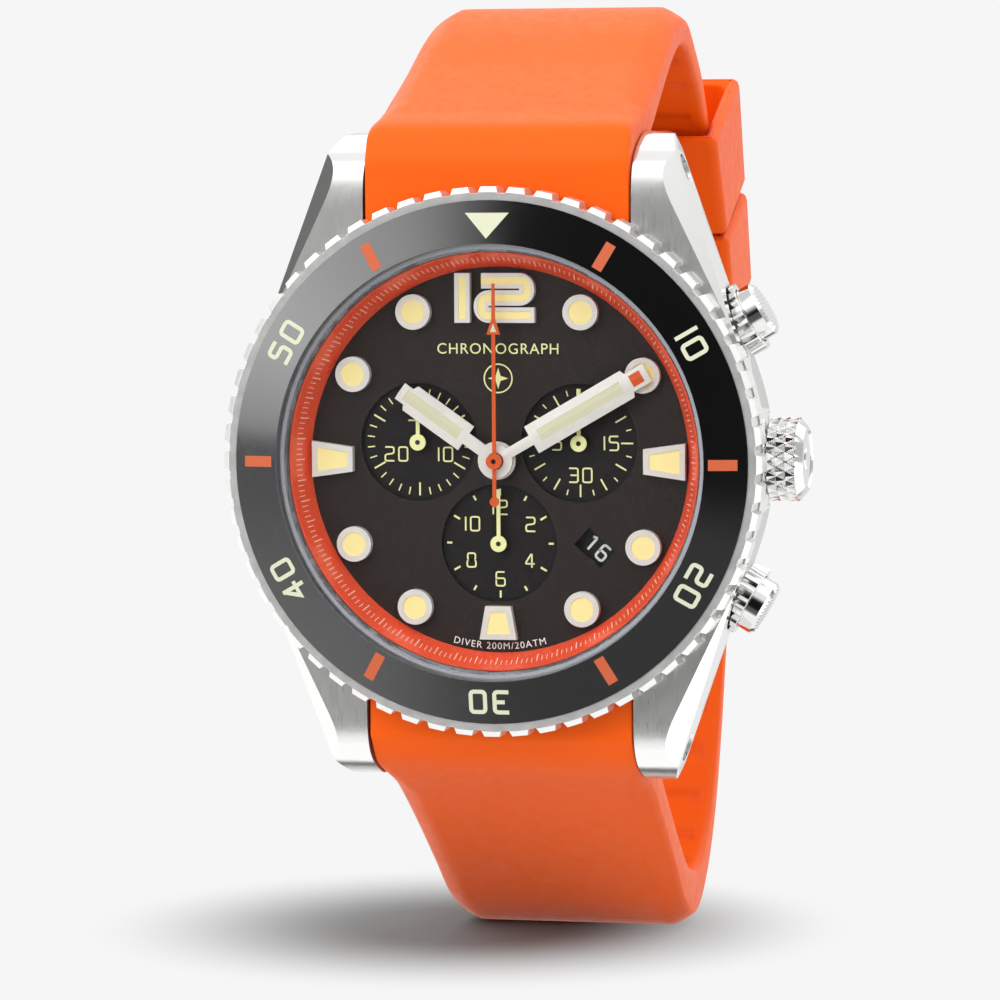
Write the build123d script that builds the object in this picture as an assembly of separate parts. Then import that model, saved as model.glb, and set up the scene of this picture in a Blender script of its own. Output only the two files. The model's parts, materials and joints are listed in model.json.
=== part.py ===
from build123d import *
from math import acos, atan2, cos, hypot, radians, sin
import os

# A diver's chronograph on a rubber strap, buckled into a closed loop.
#
# The watch is drawn in a watchmaker's frame: x towards 3 o'clock, y towards 12 o'clock and z out of the
# dial, with z = 0 on the outer face of the case back. PLACE turns that frame into the part's own frame,
# where 3 o'clock is +X, 12 o'clock is +Z, the dial faces -Y and the case back faces +Y.
# All sizes are in millimetres, and clock angles run clockwise from 12 in degrees.

PLACE = Rot(90, 0, 0)

# ---- case, crystal and case back ----
CASE_R = 21.7            # case middle, seen from the front
CASE_FLOOR = 0.6         # underside of the case middle
CASE_TOP = 10.2          # shoulder under the bezel, level with the lugs
BORE_R = 16.9            # inside of the case
NECK_R = 18.35           # collar that carries the crystal and guides the bezel
NECK_TOP = 12.9
SEAT_Z, SEAT_R = 12.2, 17.4  # ledge under the crystal
CRYSTAL_R, CRYSTAL_TOP = 17.1, 14.2
LUG_GAP = 22.1           # space between a pair of lugs, for a 22 mm strap
LUG_TIP = (14.3, 26.4)   # outer corner of a lug, seen from the front
LUG_ROOT_R = 20.3        # case wall between a pair of lugs
BAR_Y, BAR_Z, BAR_R = 23.4, 6.4, 0.9  # strap bar
UNDERCUT_Z, UNDERCUT = 5.0, 2.1          # where the flanks start to slant inwards, and how far they go
BACK_R, BACK_THICK = 19.0, 2.0
BACK_SCREW_R, BACK_SCREW_END = 17.95, 3.9    # circle of the case back's screws, and their depth

# ---- bezel ----
BEZEL_R, BEZEL_ROOT_R, BEZEL_TEETH = 22.1, 21.58, 60
BEZEL_FLOOR, BEZEL_TOP = 10.35, 13.2
INSERT_R, INSERT_BORE_R, INSERT_FLOOR = 21.0, 17.55, 13.0
INSERT_EDGE_Z, INSERT_CREST_Z = 13.3, 13.9   # top of the insert at its outer and inner edge
INLAY = 0.12             # depth of the filled markings

# ---- dial, hands and movement ----
DIAL_R, DIAL_FLOOR, DIAL_TOP = 16.6, 9.4, 9.8
LOWER_PLATE_FLOOR = 9.0
SUBDIAL_R = 4.78
SUBDIALS = {"minute_counter": (-6.65, 1.4), "small_seconds": (6.65, 1.4), "hour_counter": (0, -6.76)}
MARKER_RING_R, MARKER_TOP = 13.8, 10.5
DATE_RING_R, DATE_TEETH = 12.2, 31
DATE_WINDOW = (10.56, 131.8, 2.9, 1.85)      # distance from the centre, clock angle, length and width
HOUR_CLOCK, MINUTE_CLOCK = 305, 60           # ten past ten
HAND_SLOPE = 0.11        # fall of the hands' two facets, in mm per mm
MODULE = 0.2             # motion-work gears
CANNON_TEETH, MINUTE_WHEEL_TEETH, MINUTE_PINION_TEETH, HOUR_WHEEL_TEETH = 10, 30, 8, 32
MINUTE_WHEEL_Y = (CANNON_TEETH + MINUTE_WHEEL_TEETH) * MODULE / 2
PLATE_R, PLATE_FLOOR, PLATE_TOP = 14.7, 5.0, 8.4
BATTERY_SPOT = (-6.0, -5.0)

# ---- crown and pushers, measured outwards from the watch's centre ----
STEM_Z = 5.8
CROWN_CLOCK, PUSHER_CLOCKS = 90, {"start": 60, "reset": 120}
CROWN_R, CROWN_FOOT, CROWN_END = 3.4, 21.4, 24.6
COLLAR_R, COLLAR_FOOT, COLLAR_END = 2.95, 21.75, 23.1
CAP_R, CAP_FOOT, CAP_END = 2.3, 23.0, 24.5

# ---- strap, in y and z of its side view ----
STRAP_HALF, STRAP_HALF_BACK, STRAP_BACK_Z = 10.9, 9.6, -40.0
# Outer surface of each half, from the lug backwards, as (y, z, thickness).
UPPER_STRAP = [(24.3, 10.2, 8.0), (26.7, 8.9, 5.6), (28.3, 5.2, 4.3), (31.6, -2.3, 3.5), (34.9, -9.0, 3.3),
               (36.6, -14.2, 3.3), (36.5, -18.9, 3.3), (34.4, -23.3, 3.2), (30.8, -28.6, 3.0), (24.8, -33.5, 2.9),
               (17.0, -37.3, 2.8), (10.0, -39.4, 2.8), (4.0, -40.5, 3.1), (-0.9, -40.8, 3.4)]
LOWER_STRAP = [(-22.6, 10.0, 7.8), (-25.2, 7.6, 5.6), (-28.6, 1.4, 4.3), (-32.5, -4.4, 3.8), (-36.8, -10.2, 3.9),
               (-40.4, -15.0, 4.4), (-42.3, -19.6, 4.9), (-42.1, -24.2, 4.5), (-39.6, -29.2, 3.9),
               (-35.2, -33.8, 3.4), (-29.0, -37.6, 3.0), (-21.0, -40.9, 2.8), (-11.0, -42.9, 2.6),
               (0.0, -43.7, 2.5), (9.0, -43.6, 2.5), (16.0, -42.2, 2.5), (22.4, -39.8, 2.4), (28.0, -37.6, 2.2)]
# Each keeper as the side view of its ring: outer wall top and bottom, then inner wall bottom and top.
KEEPERS = {"keeper_upper": [(31.0, -38.9), (21.6, -41.9), (17.0, -31.9), (25.5, -26.6)],
           "keeper_lower": [(20.8, -42.7), (12.6, -45.1), (8.4, -35.4), (16.7, -32.6)]}
KEEPER_HALF, KEEPER_WALL = 11.2, 1.2
PIVOT_Y, PIVOT_Z = 1.2, -39.0            # the buckle's spring bar
END_BAR_Y, END_BAR_Z = -10.4, -45.4      # the buckle's end bar
BUCKLE_INSIDE, ARM = 10.2, 1.4           # half the clear width of the buckle, and its arms
TAIL_HOLES, HOLE_PITCH = 7, 6.5


# ---------------------------------------------------------------- shape helpers
def rod(r, z0, z1):
    return Pos(0, 0, z0) * Cylinder(r, z1 - z0, align=(Align.CENTER, Align.CENTER, Align.MIN))


def tube(r_out, r_in, z0, z1):
    return rod(r_out, z0, z1) - rod(r_in, z0 - 1, z1 + 1)


def block(x0, x1, y0, y1, z0, z1):
    return Pos((x0 + x1) / 2, (y0 + y1) / 2, (z0 + z1) / 2) * Box(x1 - x0, y1 - y0, z1 - z0)


def raised(face, z0, z1):
    """A flat outline in x and y, raised between two heights."""
    return Pos(0, 0, z0) * extrude(face, z1 - z0)


def prism(points, z0, z1):
    return raised(make_face(Polyline(*points, close=True)), z0, z1)


def lathe(*points):
    """A closed outline in radius and height, turned round the z axis."""
    return revolve(make_face(Plane.XZ * Polyline(*points, close=True)), Axis.Z)


def across(side_view, half):
    """A face drawn in y and z, extruded to both sides in x. The face is given in its own x and y."""
    return Plane.YZ * Pos(0, 0, -half) * extrude(side_view, 2 * half)


def along_x(shape, y, z, turn=90):
    """A shape drawn along +z, laid along x through a point of the side view."""
    return Pos(0, y, z) * Rot(0, turn, 0) * shape


def radial(shape, clock):
    """A shape drawn along +z, laid outwards from the centre at the stem's height."""
    return Rot(0, 0, 90 - clock) * Pos(0, 0, STEM_Z) * Rot(0, 90, 0) * shape


def clockwise(shape, clock):
    return Rot(0, 0, -clock) * shape


def at_clock(r, clock):
    return (r * sin(radians(clock)), r * cos(radians(clock)))


def toothed(r_tip, r_root, teeth, root_share, tip_share, first=0.0):
    """Outline of straight-sided teeth: shares are of the pitch, and the first tooth is at a clock angle."""
    points, pitch = [], 360 / teeth
    for i in range(teeth):
        middle = first + i * pitch
        for r, share in ((r_root, -root_share), (r_tip, -tip_share), (r_tip, tip_share),
                         (r_root, root_share)):
            points.append(at_clock(r, middle + share * pitch / 2))
    return points


def save(name, *shapes):
    """Writes one node. Several shapes stay separate solids."""
    solids = [solid for shape in shapes for solid in (PLACE * shape).solids()]
    export_step(solids[0] if len(solids) == 1 else Compound(children=solids), f"parts/{name}.step")


# ---------------------------------------------------------------- numerals
def numeral(char, width, height, stroke):
    """A square-shouldered numeral, centred, as flat faces."""
    if char == "1":
        return Rectangle(stroke, height)
    x, y = (width - stroke) / 2, (height - stroke) / 2
    if char == "0":
        return (RectangleRounded(width, height, stroke * 1.3)
                - RectangleRounded(width - 2 * stroke, height - 2 * stroke, stroke * 0.4))
    if char == "4":
        return (trace(Polyline((x * 0.45, y), (-x, -y * 0.35), (x * 1.2, -y * 0.35)), stroke)
                + Pos(x * 0.45, 0) * Rectangle(stroke, height))
    routes = {
        "2": [(-x, y), (x, y), (x, 0), (-x, 0), (-x, -y), (x + stroke / 2, -y)],
        "3": [(-x, y), (x, y), (x, -y), (-x, -y)],
        "5": [(x, y), (-x, y), (-x, 0.15 * y), (x, 0.15 * y), (x, -y), (-x, -y)],
    }
    face = trace(FilletPolyline(*routes[char], radius=min(0.8 * stroke, 0.45 * y)), stroke)
    return face + Pos(stroke / 2, 0) * Rectangle(2 * x - stroke, stroke) if char == "3" else face


def pair(first, second, width, height, stroke, gap):
    """Two numerals side by side, centred as a whole."""
    wide = [stroke if char == "1" else width for char in (first, second)]
    left = -(wide[0] + gap + wide[1]) / 2
    return [Pos(left + wide[0] / 2, 0) * numeral(first, width, height, stroke),
            Pos(left + wide[0] + gap + wide[1] / 2, 0) * numeral(second, width, height, stroke)]


# ---------------------------------------------------------------- case middle
def lug_angle():
    """Angle above 3 o'clock at which a lug's flank leaves the round case, in radians."""
    tip_x, corner_y = LUG_TIP[0], LUG_TIP[1] - 1.5
    return atan2(corner_y, tip_x) - acos(CASE_R / hypot(tip_x, corner_y))


def case_plan():
    """Seen from the front: a circle with four lugs that leave it along tangents."""
    tip_x, tip_y = LUG_TIP
    corner_y = tip_y - 1.5
    shoulder = (CASE_R * cos(lug_angle()), CASE_R * sin(lug_angle()))
    quarter = make_face(Polyline((0, 0), shoulder, (tip_x, corner_y), (tip_x - 0.7, tip_y - 0.2),
                                 (tip_x - 1.6, tip_y), (0, tip_y), close=True))
    half = quarter + mirror(quarter, Plane.YZ)
    return Circle(CASE_R) + half + mirror(half, Plane.XZ)


def case_side_view():
    """Seen from 3 o'clock, in y and z: the lugs curve down at their tips."""
    tip = [(20.4, CASE_TOP), (24.3, 9.0), (25.9, 6.0), (26.4, 2.6)]
    edges = [Line((0, CASE_TOP), tip[0]), Spline(*tip, tangents=[(1, 0), (0, -1)]),
             RadiusArc(tip[-1], (24.8, CASE_FLOOR), 2.2), Line((24.8, CASE_FLOOR), (0, CASE_FLOOR)),
             Line((0, CASE_FLOOR), (0, CASE_TOP))]
    face = make_face(edges)
    return face + mirror(face, Plane.YZ)


def four_ways(shape):
    """A shape and its mirror images on the other three lugs."""
    pair = [shape, mirror(shape, Plane.YZ)]
    return pair + [mirror(one, Plane.XZ) for one in pair]


def lug_bevels():
    """Slanting bevel along the outer top edge of every lug, wider towards its tip."""
    return four_ways(Plane(origin=(15.77, 17.67, CASE_TOP), z_dir=(0.62, 0.3, 0.724)) * rod(60, 0, 12))


def undercuts():
    """The lower half of the flanks slants inwards, round the case and along every lug."""
    drop = UNDERCUT_Z - CASE_FLOOR
    across_x, across_y = cos(lug_angle()), sin(lug_angle())
    lug = Plane(origin=(CASE_R * across_x, CASE_R * across_y, UNDERCUT_Z),
                z_dir=(across_x * drop, across_y * drop, -UNDERCUT)) * rod(60, 0, 12)
    # a lug's cut is kept clear of the round case, which has its own
    lug &= block(0, 40, CASE_R * across_y, 40, -20, UNDERCUT_Z)
    ring = lathe((CASE_R - UNDERCUT, CASE_FLOOR), (CASE_R, UNDERCUT_Z), (40, UNDERCUT_Z), (40, -20),
                 (CASE_R - UNDERCUT, -20))
    side = CASE_R * across_y
    return four_ways(lug) + [ring & block(-60, 60, -side, side, -30, 20)]


def back_screw_spots():
    return [at_clock(BACK_SCREW_R, 30 + 60 * i) for i in range(6)]


def case_middle():
    body = raised(case_plan(), 0, CASE_TOP + 1) & across(case_side_view(), 30)
    for slant in lug_bevels() + undercuts():
        body -= slant
    slot = block(-LUG_GAP / 2, LUG_GAP / 2, 12, 30, -1, CASE_TOP + 1) - rod(LUG_ROOT_R, -2, CASE_TOP + 2)
    body -= slot
    body -= mirror(slot, Plane.XZ)
    body += rod(NECK_R, 5, NECK_TOP)
    body -= rod(BORE_R, -1, SEAT_Z + 0.1)
    body -= rod(SEAT_R, SEAT_Z, NECK_TOP + 1)
    body -= rod(BACK_R + 0.05, -1, BACK_THICK)
    for x, y in back_screw_spots():
        body -= Pos(x, y, 0) * rod(0.5, 1, BACK_SCREW_END)
    body -= tube(20.5, 19.3, CASE_TOP - 0.35, CASE_TOP + 0.1)
    body -= radial(rod(CROWN_R + 0.4, CROWN_FOOT - 0.15, 26), CROWN_CLOCK)
    body -= radial(rod(1.4, 14, 26), CROWN_CLOCK)
    for clock in PUSHER_CLOCKS.values():
        body -= radial(rod(COLLAR_R + 0.25, COLLAR_FOOT - 0.1, 26), clock)
        body -= radial(rod(1.3, 14, 26), clock)
    for y in (BAR_Y, -BAR_Y):
        body -= along_x(rod(BAR_R, -13.4, 13.4), y, BAR_Z)
        for turn in (90, -90):
            body -= along_x(rod(1.15, 13.4, 20), y, BAR_Z, turn)
    return body


# ---------------------------------------------------------------- case furniture
def make_case():
    save("case_middle", case_middle())
    back = rod(BACK_R, 0, BACK_THICK)
    back = chamfer(back.edges().group_by(Axis.Z)[0], 0.35)
    for x, y in back_screw_spots():
        back -= Pos(x, y, 0) * (rod(0.95, -0.1, 0.6) + rod(0.5, 0, BACK_THICK + 0.1))
    save("case_back", back)
    screw = rod(0.9, 0.03, 0.6) + rod(0.5, 0.5, BACK_SCREW_END) - block(-0.95, 0.95, -0.13, 0.13, -0.1, 0.28)
    save("case_back_screws", *[Pos(x, y, 0) * Rot(0, 0, 25 * i) * screw
                               for i, (x, y) in enumerate(back_screw_spots())])
    save("case_back_gasket", tube(BORE_R - 0.02, 16.35, BACK_THICK, BACK_THICK + 0.7))
    save("crystal", lathe((0, SEAT_Z), (CRYSTAL_R, SEAT_Z), (CRYSTAL_R, CRYSTAL_TOP - 0.35),
                          (CRYSTAL_R - 0.35, CRYSTAL_TOP), (0, CRYSTAL_TOP)))
    save("crystal_gasket", tube(SEAT_R, CRYSTAL_R, SEAT_Z, NECK_TOP))
    save("flange_ring", lathe((15.6, DIAL_TOP), (BORE_R - 0.05, DIAL_TOP), (BORE_R - 0.05, SEAT_Z - 0.03),
                              (16.7, SEAT_Z - 0.03)))
    save("bezel_click_spring", tube(20.4, 19.4, CASE_TOP - 0.33, CASE_TOP + 0.05))
    save("crown_tube", radial(tube(1.4, 0.8, 17.2, 22.6), CROWN_CLOCK))
    save("pusher_tubes", *[radial(tube(1.3, 0.62, 17.2, 22.0), clock) for clock in PUSHER_CLOCKS.values()])
    bars = [along_x(rod(BAR_R, -13.4, 13.4) - rod(0.5, 11.9, 14) - rod(0.5, -14, -11.9), y, BAR_Z)
            for y in (BAR_Y, -BAR_Y)]
    save("strap_bars", *bars)
    bar_screw = rod(1.12, 13.4, 14.1) + rod(0.5, 11.95, 13.5) - Pos(0, 0, 13.75) * Box(0.3, 3, 0.8)
    save("strap_bar_screws", *[along_x(bar_screw, y, BAR_Z, turn)
                               for y in (BAR_Y, -BAR_Y) for turn in (90, -90)])


# ---------------------------------------------------------------- bezel
def insert_layer(z_low, z_high):
    """The insert's conical top, between two offsets from its surface."""
    return lathe((INSERT_BORE_R, INSERT_CREST_Z + z_low), (INSERT_R, INSERT_EDGE_Z + z_low),
                 (INSERT_R, INSERT_EDGE_Z + z_high), (INSERT_BORE_R, INSERT_CREST_Z + z_high))


def bezel_markings():
    """The light numerals with the triangle, and the coloured bars between them, as flat faces."""
    light = [make_face(Polyline((-1.8, 20.0), (1.8, 20.0), (0, 17.95), close=True))]
    for tens in range(1, 6):
        for face in pair(str(tens), "0", 1.5, 2.0, 0.33, 0.45):
            light.append(clockwise(Pos(0, 19.2) * face, 60 * tens))
    bars = [clockwise(Pos(0, 19.05) * Rectangle(0.87, 2.3), 30 + 60 * i) for i in range(6)]
    return light, bars


def make_bezel():
    ring = prism(toothed(BEZEL_R, BEZEL_ROOT_R, BEZEL_TEETH, 0.72, 0.55), BEZEL_FLOOR, BEZEL_TOP)
    ring &= lathe((17, BEZEL_FLOOR), (BEZEL_R - 0.35, BEZEL_FLOOR), (BEZEL_R, BEZEL_FLOOR + 0.35),
                  (BEZEL_R, BEZEL_TOP - 0.3), (BEZEL_R - 0.45, BEZEL_TOP), (17, BEZEL_TOP))
    ring -= rod(NECK_R + 0.05, 0, 20)
    ring -= rod(INSERT_R, INSERT_FLOOR, 20)
    light, bars = bezel_markings()
    inlay = insert_layer(-INLAY, 0.02)
    light_inlay = [raised(face, 12, 15) & inlay for face in light]
    bar_inlay = [raised(face, 12, 15) & inlay for face in bars]
    insert = lathe((INSERT_BORE_R, INSERT_FLOOR), (INSERT_R, INSERT_FLOOR), (INSERT_R, INSERT_EDGE_Z),
                   (INSERT_BORE_R, INSERT_CREST_Z))
    for marking in light_inlay + bar_inlay:
        insert -= marking
    save("bezel_ring", ring)
    save("bezel_insert", insert)
    save("bezel_numerals", *light_inlay)
    save("bezel_bars", *bar_inlay)


# ---------------------------------------------------------------- dial
def date_window(grow=0.0):
    r, clock, length, width = DATE_WINDOW
    return clockwise(Pos(0, r) * Rectangle(width + grow, length + grow), clock)


def baton(r_in, r_out, half_in, half_out, clock):
    """A tapered hour marker, wider at its outer end."""
    outline = [(-half_in, r_in), (half_in, r_in), (half_out, r_out), (-half_out, r_out)]
    return clockwise(make_face(Polyline(*outline, close=True)), clock)


def applied_markers():
    """Hour markers as (metal frame, luminous filling) pairs of flat faces."""
    pairs = []
    for hour in (1, 2, 4, 5, 7, 8, 10, 11):
        spot = Pos(*at_clock(MARKER_RING_R, 30 * hour))
        pairs.append((spot * Circle(1.43), spot * Circle(0.97)))
    for clock, r_in, r_out, half_in, half_out in ((90, 12.0, 15.4, 1.0, 1.48), (270, 12.0, 15.4, 1.0, 1.48),
                                                  (180, 11.8, 14.5, 1.05, 1.53)):
        pairs.append((baton(r_in, r_out, half_in, half_out, clock),
                      baton(r_in + 0.45, r_out - 0.45, half_in - 0.42, half_out - 0.5, clock)))
    one = make_face(Polyline((-3.42, 15.1), (-2.16, 15.1), (-2.16, 11.1), (-3.42, 11.1), close=True))
    one_core = Pos(-2.79, 13.1) * Rectangle(0.62, 3.4)
    pairs.append((one, one_core))
    two = Pos(0.675, 13.1) * numeral("2", 4.99, 4.0, 1.24)
    two_core = Pos(0.675, 13.1) * trace(FilletPolyline(
        (-1.9, 1.38), (1.875, 1.38), (1.875, 0), (-1.875, 0), (-1.875, -1.38), (2.2, -1.38), radius=0.4), 0.6)
    pairs.append((two, two_core))
    return pairs


def make_dial():
    dial = rod(DIAL_R, DIAL_FLOOR, DIAL_TOP) - rod(1.1, 9, 10) - raised(date_window(), 9, 10)
    lower = rod(DIAL_R, LOWER_PLATE_FLOOR, DIAL_FLOOR) - rod(1.1, 8, 10) - raised(date_window(0.5), 8, 10)
    for x, y in SUBDIALS.values():
        dial -= Pos(x, y, 0) * rod(SUBDIAL_R, 9, 10)
        lower -= Pos(x, y, 0) * rod(0.3, 8, 10)
    save("dial", dial)
    save("dial_lower_plate", lower)
    frames = [raised(frame, DIAL_TOP, MARKER_TOP) - raised(core, DIAL_TOP - 1, MARKER_TOP + 1)
              for frame, core in applied_markers()]
    save("hour_markers", *frames)
    save("hour_marker_lume", *[raised(core, DIAL_TOP, MARKER_TOP - 0.08) for _, core in applied_markers()])


# ---------------------------------------------------------------- hands and motion works
def gear(teeth, z0, z1, first=0.0):
    pitch_r = teeth * MODULE / 2
    return prism(toothed(pitch_r + 0.15, pitch_r - 0.24, teeth, 0.56, 0.22, first), z0, z1)


def sword(neck_half, neck_r, blade_half, blade_r, tip_half, tip_r):
    """The outline of a hand that points at 12: a narrow neck, a wide blade and a narrower blunt tip."""
    outline = [(neck_half, 0), (neck_half, neck_r), (blade_half, neck_r), (blade_half, blade_r),
               (tip_half, blade_r + 0.2), (tip_half, tip_r)]
    outline += [(-x, y) for x, y in reversed(outline)]
    return make_face(Polyline(*outline, close=True))


def faceted(outline, z_floor, z_ridge):
    """A thin plate whose top falls away to both sides of a ridge along its middle."""
    half, z_side = 3.0, z_ridge - 3.0 * HAND_SLOPE
    roof = Plane.XZ * make_face(Polyline((-half, z_floor), (half, z_floor), (half, z_side), (0, z_ridge),
                                         (-half, z_side), close=True))
    return raised(outline, z_floor, z_ridge) & Pos(0, 20, 0) * extrude(roof, 40)


def slot(half, r_in, r_out):
    return Pos(0, (r_in + r_out) / 2) * Rectangle(2 * half, r_out - r_in)


def make_minute_and_hour():
    hand = faceted(sword(0.42, 3.45, 1.22, 12.5, 0.8, 14.4), 10.85, 11.15) + rod(1.4, 10.85, 11.1)
    lume, tip = slot(0.5, 4.2, 12.0), slot(0.5, 12.9, 13.9)
    hand -= raised(lume, 10, 12) + raised(tip, 10, 12) + rod(0.7, 10, 12)
    save("minute_hand", clockwise(hand, MINUTE_CLOCK))
    save("minute_hand_lume", clockwise(faceted(lume, 10.87, 11.12), MINUTE_CLOCK))
    save("minute_hand_tip", clockwise(faceted(tip, 10.87, 11.17), MINUTE_CLOCK))
    save("cannon_pinion", gear(CANNON_TEETH, 7.2, 7.7) + rod(0.7, 7.2, 11.15) - rod(0.43, 7, 12))
    hand = faceted(sword(0.5, 3.1, 1.17, 8.7, 0.75, 9.75), 10.35, 10.65) + rod(1.55, 10.35, 10.6)
    lume = slot(0.48, 3.7, 9.2)
    hand -= raised(lume, 10, 12) + rod(1.0, 10, 12)
    save("hour_hand", clockwise(hand, HOUR_CLOCK))
    save("hour_hand_lume", clockwise(faceted(lume, 10.37, 10.62), HOUR_CLOCK))
    half_hour_tooth = 180 / HOUR_WHEEL_TEETH
    pipe = rod(1.0, 7.8, 10.65) - rod(0.75, 7, 12)
    save("hour_wheel", gear(HOUR_WHEEL_TEETH, 7.8, 8.2, half_hour_tooth) - rod(0.75, 7, 12) + pipe)
    half_minute_tooth = 180 + 180 / MINUTE_WHEEL_TEETH
    wheel = gear(MINUTE_WHEEL_TEETH, 7.2, 7.65, half_minute_tooth) + gear(MINUTE_PINION_TEETH, 7.6, 8.2, 180)
    save("minute_wheel", Pos(0, MINUTE_WHEEL_Y, 0) * (wheel - rod(0.3, 7, 9)))


def make_counters():
    needle = [(0.15, -3.7), (0.15, 10.2), (0.55, 10.2), (0.15, 11.45), (0.12, 14.3)]
    needle += [(-x, y) for x, y in reversed(needle)]
    hand = raised(make_face(Polyline(*needle, close=True)), 11.35, 11.5)
    hand += rod(0.62, 11.35, 11.8) + Pos(0, -3.25, 0) * rod(0.38, 11.35, 11.5) + rod(0.25, 6.0, 11.5)
    save("chronograph_hand", hand - rod(0.2, 11.6, 12))
    for name, (x, y) in SUBDIALS.items():
        pointer = raised(Pos(0, 2.2) * Rectangle(0.3, 4.4), 9.95, 10.08)
        pointer += rod(0.66, 9.95, 10.15) + rod(0.22, 6.0, 10.0)
        save(name + "_hand", Pos(x, y, 0) * pointer)


# ---------------------------------------------------------------- movement
def stem_way(r):
    return radial(rod(r, 7, 17), CROWN_CLOCK)


def make_movement():
    plate = lathe((0, PLATE_FLOOR), (PLATE_R, PLATE_FLOOR), (PLATE_R, LOWER_PLATE_FLOOR),
                  (DATE_RING_R + 0.15, LOWER_PLATE_FLOOR), (DATE_RING_R + 0.15, PLATE_TOP), (0, PLATE_TOP))
    plate -= rod(3.7, 7.1, 9) + Pos(0, MINUTE_WHEEL_Y, 0) * rod(3.5, 7.1, 9) + rod(0.4, 4, 9)
    plate += Pos(0, MINUTE_WHEEL_Y, 0) * rod(0.25, 7.1, 8.25)
    plate -= stem_way(0.8) + block(11.6, 15, -0.6, 0.6, PLATE_FLOOR - 1, STEM_Z)
    for x, y in SUBDIALS.values():
        plate -= Pos(x, y, 0) * rod(0.28, 5.6, 9)
    save("main_plate", plate)
    save("centre_tube", tube(0.4, 0.3, 5.5, 11.2))
    ring = tube(16.3, PLATE_R, 3.0, LOWER_PLATE_FLOOR)
    for clock in (CROWN_CLOCK, *PUSHER_CLOCKS.values()):
        ring -= radial(rod(1.6, 13, 18), clock)
    save("movement_ring", ring)
    teeth = prism(toothed(8.8, 8.45, DATE_TEETH, 0.6, 0.3), 8, 10)
    save("date_ring", rod(DATE_RING_R, PLATE_TOP + 0.05, LOWER_PLATE_FLOOR - 0.05) - teeth)
    x, y = BATTERY_SPOT
    board = rod(14.0, 4.45, PLATE_FLOOR) - Pos(x, y, 0) * rod(4.3, 4, 6)
    board -= block(11.6, 15, -0.7, 0.7, 4, 6)
    save("circuit_board", board)
    save("battery", Pos(x, y, 0) * (rod(4.1, 2.85, 4.6) + rod(3.6, 4.6, 4.95)))
    save("battery_clamp", Pos(x, y, 0) * (block(-5.5, 5.5, -0.9, 0.9, 2.55, 2.85)
                                          + block(-6.1, -5.3, -0.9, 0.9, 2.55, 4.45)
                                          + block(5.3, 6.1, -0.9, 0.9, 2.55, 4.45)))
    spots = [(6.5, -6.5, 35), (7.0, 6.0, -40), (-4.5, 8.5, 10)]
    core = block(-3.6, 3.6, -0.35, 0.35, 3.2, 3.9)
    core += block(-3.9, -3.1, -1.4, 1.4, 3.1, 4.45) + block(3.1, 3.9, -1.4, 1.4, 3.1, 4.45)
    coil = Pos(0, 0, 3.55) * Rot(0, 90, 0) * (rod(0.85, -3.05, 3.05) - Box(0.7, 0.7, 8))
    save("motor_cores", *[Pos(px, py, 0) * Rot(0, 0, turn) * core for px, py, turn in spots])
    save("motor_coils", *[Pos(px, py, 0) * Rot(0, 0, turn) * coil for px, py, turn in spots])
    screw = rod(0.8, 3.95, 4.45) - block(-1, 1, -0.12, 0.12, 3.9, 4.15)
    save("movement_screws", *[Pos(*at_clock(12.2, clock), 0) * screw for clock in (20, 75, 150, 275)])


# ---------------------------------------------------------------- crown and pushers
def make_crown():
    crown = prism(toothed(CROWN_R, CROWN_R - 0.16, 36, 0.6, 0.2), CROWN_FOOT, CROWN_END)
    crown &= lathe((0, CROWN_FOOT), (CROWN_R - 0.35, CROWN_FOOT), (CROWN_R, CROWN_FOOT + 0.35),
                   (CROWN_R, CROWN_END - 0.55), (CROWN_R - 0.55, CROWN_END), (0, CROWN_END))
    crown -= rod(1.5, 20, 23.0) + rod(0.6, 22, 23.5)
    save("crown", radial(crown, CROWN_CLOCK))
    stem = rod(0.6, 8.0, 23.5) - tube(1, 0.35, 12.0, 12.6)
    save("winding_stem", radial(stem, CROWN_CLOCK))
    save("crown_gasket", radial(tube(0.77, 0.6, 18.4, 19.2), CROWN_CLOCK))
    lever = radial(tube(0.72, 0.4, 12.05, 12.55), CROWN_CLOCK)
    lever += block(12.05, 12.55, -0.4, 0.4, 4.6, STEM_Z - 0.45)
    save("setting_lever", lever)


def make_pushers():
    scallops = Compound(children=[Rot(0, 0, 30 * i) * Pos(COLLAR_R + 0.55, 0, 0) * rod(0.75, 20, 24)
                                  for i in range(12)])
    collar = tube(COLLAR_R, 1.35, COLLAR_FOOT, COLLAR_END) - scallops
    collar -= rod(CAP_R + 0.08, COLLAR_FOOT + 0.3, 24)
    cap = rod(CAP_R, CAP_FOOT, CAP_END)
    cap = chamfer(cap.edges().group_by(Axis.Z)[-1], 0.3)
    for i in range(-6, 7):
        cap -= Pos(0, 0.32 * i, CAP_END) * Box(6, 0.13, 0.2)
    cap += rod(0.55, 17.0, CAP_FOOT + 0.5)
    coil_r, wire_r = 1.0, 0.13
    path = Helix(pitch=0.26, height=0.6, radius=coil_r)
    spring = sweep(Plane(origin=path @ 0, z_dir=path % 0) * Circle(wire_r), path=path)
    for name, clock in PUSHER_CLOCKS.items():
        save(name + "_pusher", radial(cap, clock))
        save(name + "_collar", radial(collar, clock))
        save(name + "_spring", radial(Pos(0, 0, 22.2) * spring, clock))


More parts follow.
